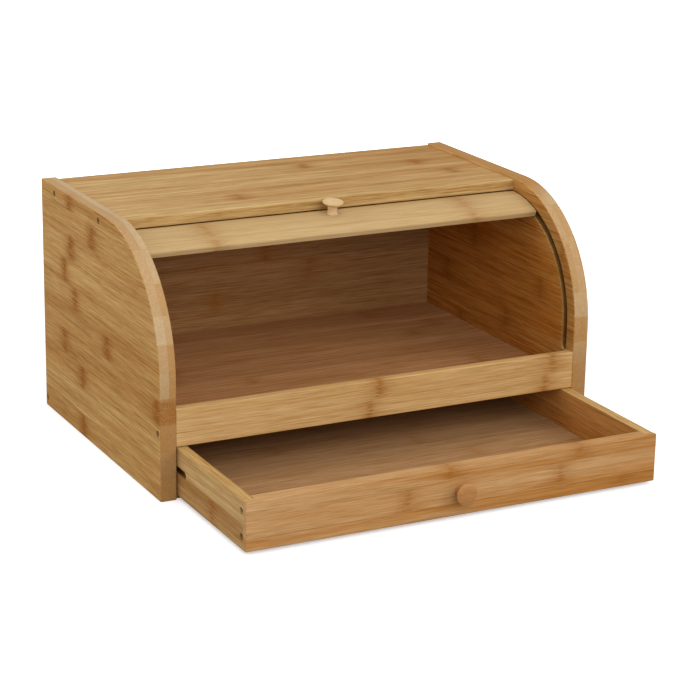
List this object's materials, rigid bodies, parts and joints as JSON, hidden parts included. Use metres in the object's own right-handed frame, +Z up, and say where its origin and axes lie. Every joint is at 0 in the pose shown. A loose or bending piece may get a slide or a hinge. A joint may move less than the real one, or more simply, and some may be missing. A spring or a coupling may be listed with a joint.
{
  "type": "bread box",
  "caption": "Bamboo roll-top bread box with a shelf for the loaf and a shallow drawer under it.",
  "frame": {"origin": "middle of the cabinet's underside, where it stands", "axes": "+Z up, +Y to the back of the cabinet, +X to the right as seen from the front"},
  "size_m": [0.4, 0.41, 0.208],
  "materials": {
    "bamboo_side": "satin",
    "bamboo_light": "satin",
    "bamboo_back": "satin",
    "bamboo_pale": "satin",
    "canvas": "woven",
    "dark_screw": "dull black",
    "plated_screw": "zinc plated"
  },
  "bodies": {
    "cabinet": {"side_panel_left": "bamboo_side", "side_panel_right": "bamboo_side", "top_panel": "bamboo_light", "back_panel": "bamboo_back", "base_panel": "bamboo_back", "bread_shelf": "bamboo_back", "front_rail": "bamboo_light", "cabinet_screws": "dark_screw", "drawer_peg_left": "bamboo_pale", "drawer_peg_right": "bamboo_pale"},
    "lead": {"lead_bar": "bamboo_pale", "canvas_lead": "canvas", "lid_knob": "bamboo_pale", "lid_knob_screw": "plated_screw"},
    "curtain_01": {"slat_01": "bamboo_light", "canvas_01": "canvas"},
    "curtain_02": {"slat_02": "bamboo_light", "canvas_02": "canvas"},
    "curtain_03": {"slat_03": "bamboo_light", "canvas_03": "canvas"},
    "curtain_04": {"slat_04": "bamboo_light", "canvas_04": "canvas"},
    "curtain_05": {"slat_05": "bamboo_light", "canvas_05": "canvas"},
    "curtain_06": {"slat_06": "bamboo_light", "canvas_06": "canvas"},
    "curtain_07": {"slat_07": "bamboo_light", "canvas_07": "canvas"},
    "curtain_08": {"slat_08": "bamboo_light", "canvas_08": "canvas"},
    "curtain_09": {"slat_09": "bamboo_light", "canvas_09": "canvas"},
    "curtain_10": {"slat_10": "bamboo_light", "canvas_10": "canvas"},
    "curtain_11": {"slat_11": "bamboo_light", "canvas_11": "canvas"},
    "curtain_12": {"slat_12": "bamboo_light", "canvas_12": "canvas"},
    "drawer": {"drawer_front": "bamboo_light", "drawer_side_left": "bamboo_light", "drawer_side_right": "bamboo_light", "drawer_back": "bamboo_light", "drawer_floor": "bamboo_back", "drawer_screws": "dark_screw", "drawer_knob": "bamboo_pale", "drawer_knob_screw": "plated_screw"}
  },
  "joints": [
    {"name": "drawer_slide", "type": "slide", "parent": "cabinet", "child": "drawer", "axis": [0, 1, 0], "range_m": [0, 0.131]},
    {"name": "lid_roll", "type": "hinge", "parent": "cabinet", "child": "lead", "pos_m": [0, -0.01894, 0.09402], "axis": [1, 0, 0], "range_deg": [0, 76.7]},
    {"name": "curtain_01_turn", "type": "hinge", "parent": "cabinet", "child": "curtain_01", "pos_m": [0, -0.02082, 0.09425], "axis": [1, 0, 0], "range_deg": [0, 77.76]},
    {"name": "curtain_02_turn", "type": "hinge", "parent": "cabinet", "child": "curtain_02", "pos_m": [0, -0.01683, 0.08686], "axis": [1, 0, 0], "range_deg": [0, 72.03]},
    {"name": "curtain_03_turn", "type": "hinge", "parent": "cabinet", "child": "curtain_03", "pos_m": [0, -0.01248, 0.07722], "axis": [1, 0, 0], "range_deg": [0, 65.79]},
    {"name": "curtain_04_turn", "type": "hinge", "parent": "cabinet", "child": "curtain_04", "pos_m": [0, -0.00736, 0.06331], "axis": [1, 0, 0], "range_deg": [0, 58.58]},
    {"name": "curtain_05_turn", "type": "hinge", "parent": "cabinet", "child": "curtain_05", "pos_m": [0, -0.00145, 0.04221], "axis": [1, 0, 0], "range_deg": [0, 50.34]},
    {"name": "curtain_06_turn", "type": "hinge", "parent": "cabinet", "child": "curtain_06", "pos_m": [0, 0.00524, 0.0087], "axis": [1, 0, 0], "range_deg": [0, 41.24]},
    {"name": "curtain_07_turn", "type": "hinge", "parent": "cabinet", "child": "curtain_07", "pos_m": [0, 0.01244, -0.04383], "axis": [1, 0, 0], "range_deg": [0, 32.16]},
    {"name": "curtain_08_turn", "type": "hinge", "parent": "cabinet", "child": "curtain_08", "pos_m": [0, 0.01925, -0.12647], "axis": [1, 0, 0], "range_deg": [0, 23.91]},
    {"name": "curtain_09_turn", "type": "hinge", "parent": "cabinet", "child": "curtain_09", "pos_m": [0, 0.02522, -0.27188], "axis": [1, 0, 0], "range_deg": [0, 16.48]},
    {"name": "curtain_10_turn", "type": "hinge", "parent": "cabinet", "child": "curtain_10", "pos_m": [0, 0.02921, -0.60528], "axis": [1, 0, 0], "range_deg": [0, 9.63]},
    {"name": "curtain_11_turn", "type": "hinge", "parent": "cabinet", "child": "curtain_11", "pos_m": [0, 0.02468, -2.75203], "axis": [1, 0, 0], "range_deg": [0, 2.62]},
    {"name": "curtain_12_slide", "type": "slide", "parent": "cabinet", "child": "curtain_12", "axis": [0, -1, 0], "range_m": [0, 0.1341]}
  ],
  "couplings": [
    {"joint": "curtain_01_turn", "follows": "lid_roll", "ratio": 1.0136},
    {"joint": "curtain_02_turn", "follows": "lid_roll", "ratio": 0.93888},
    {"joint": "curtain_03_turn", "follows": "lid_roll", "ratio": 0.85754},
    {"joint": "curtain_04_turn", "follows": "lid_roll", "ratio": 0.76356},
    {"joint": "curtain_05_turn", "follows": "lid_roll", "ratio": 0.65618},
    {"joint": "curtain_06_turn", "follows": "lid_roll", "ratio": 0.53749},
    {"joint": "curtain_07_turn", "follows": "lid_roll", "ratio": 0.41915},
    {"joint": "curtain_08_turn", "follows": "lid_roll", "ratio": 0.31154},
    {"joint": "curtain_09_turn", "follows": "lid_roll", "ratio": 0.21468},
    {"joint": "curtain_10_turn", "follows": "lid_roll", "ratio": 0.1253},
    {"joint": "curtain_11_turn", "follows": "lid_roll", "ratio": 0.033994},
    {"joint": "curtain_12_slide", "follows": "lid_roll", "m_per_rad": 0.1001}
  ]
}
